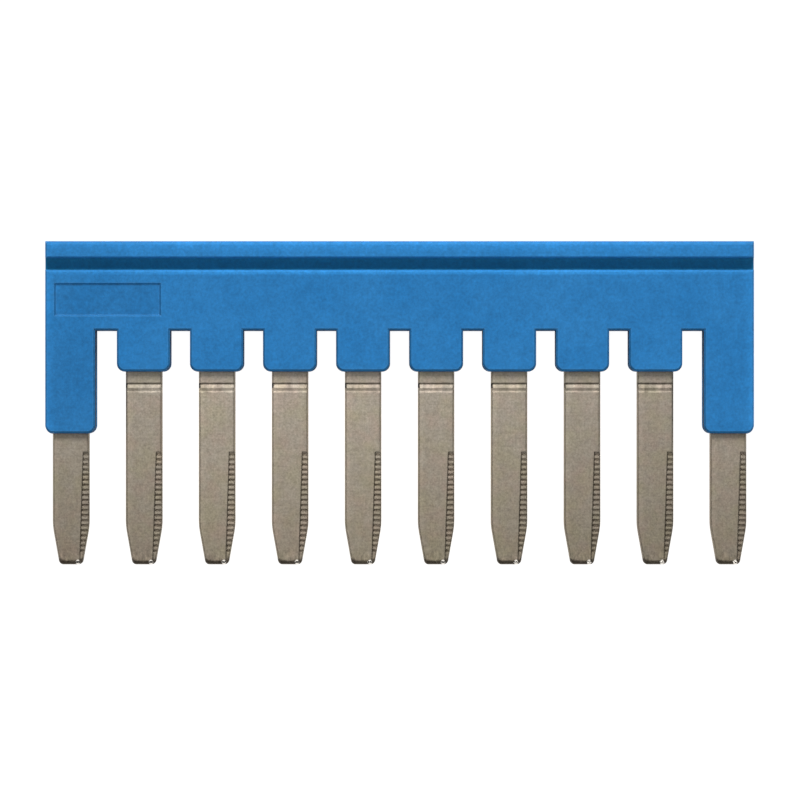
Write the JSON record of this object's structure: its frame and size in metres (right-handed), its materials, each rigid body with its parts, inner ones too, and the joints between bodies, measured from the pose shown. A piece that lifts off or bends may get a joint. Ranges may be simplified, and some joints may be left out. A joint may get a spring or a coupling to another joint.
{
  "type": "terminal block jumper bar",
  "caption": "Flat moulded bar on a stamped contact comb, whose blades plug into a row of rail terminal blocks and join them electrically.",
  "frame": {"origin": "centre of the bar's outline at its rear face, on which it lies", "axes": "+X along the row of terminals, +Y from the blade tips towards the grip lip, +Z through the thickness to the front face"},
  "size_m": [0.0504, 0.023, 0.0028],
  "materials": {
    "housing_plastic": "matte",
    "plated_copper": "satin"
  },
  "bodies": {
    "root": {"insulating_housing": "housing_plastic", "contact_comb": "plated_copper"}
  },
  "joints": []
}
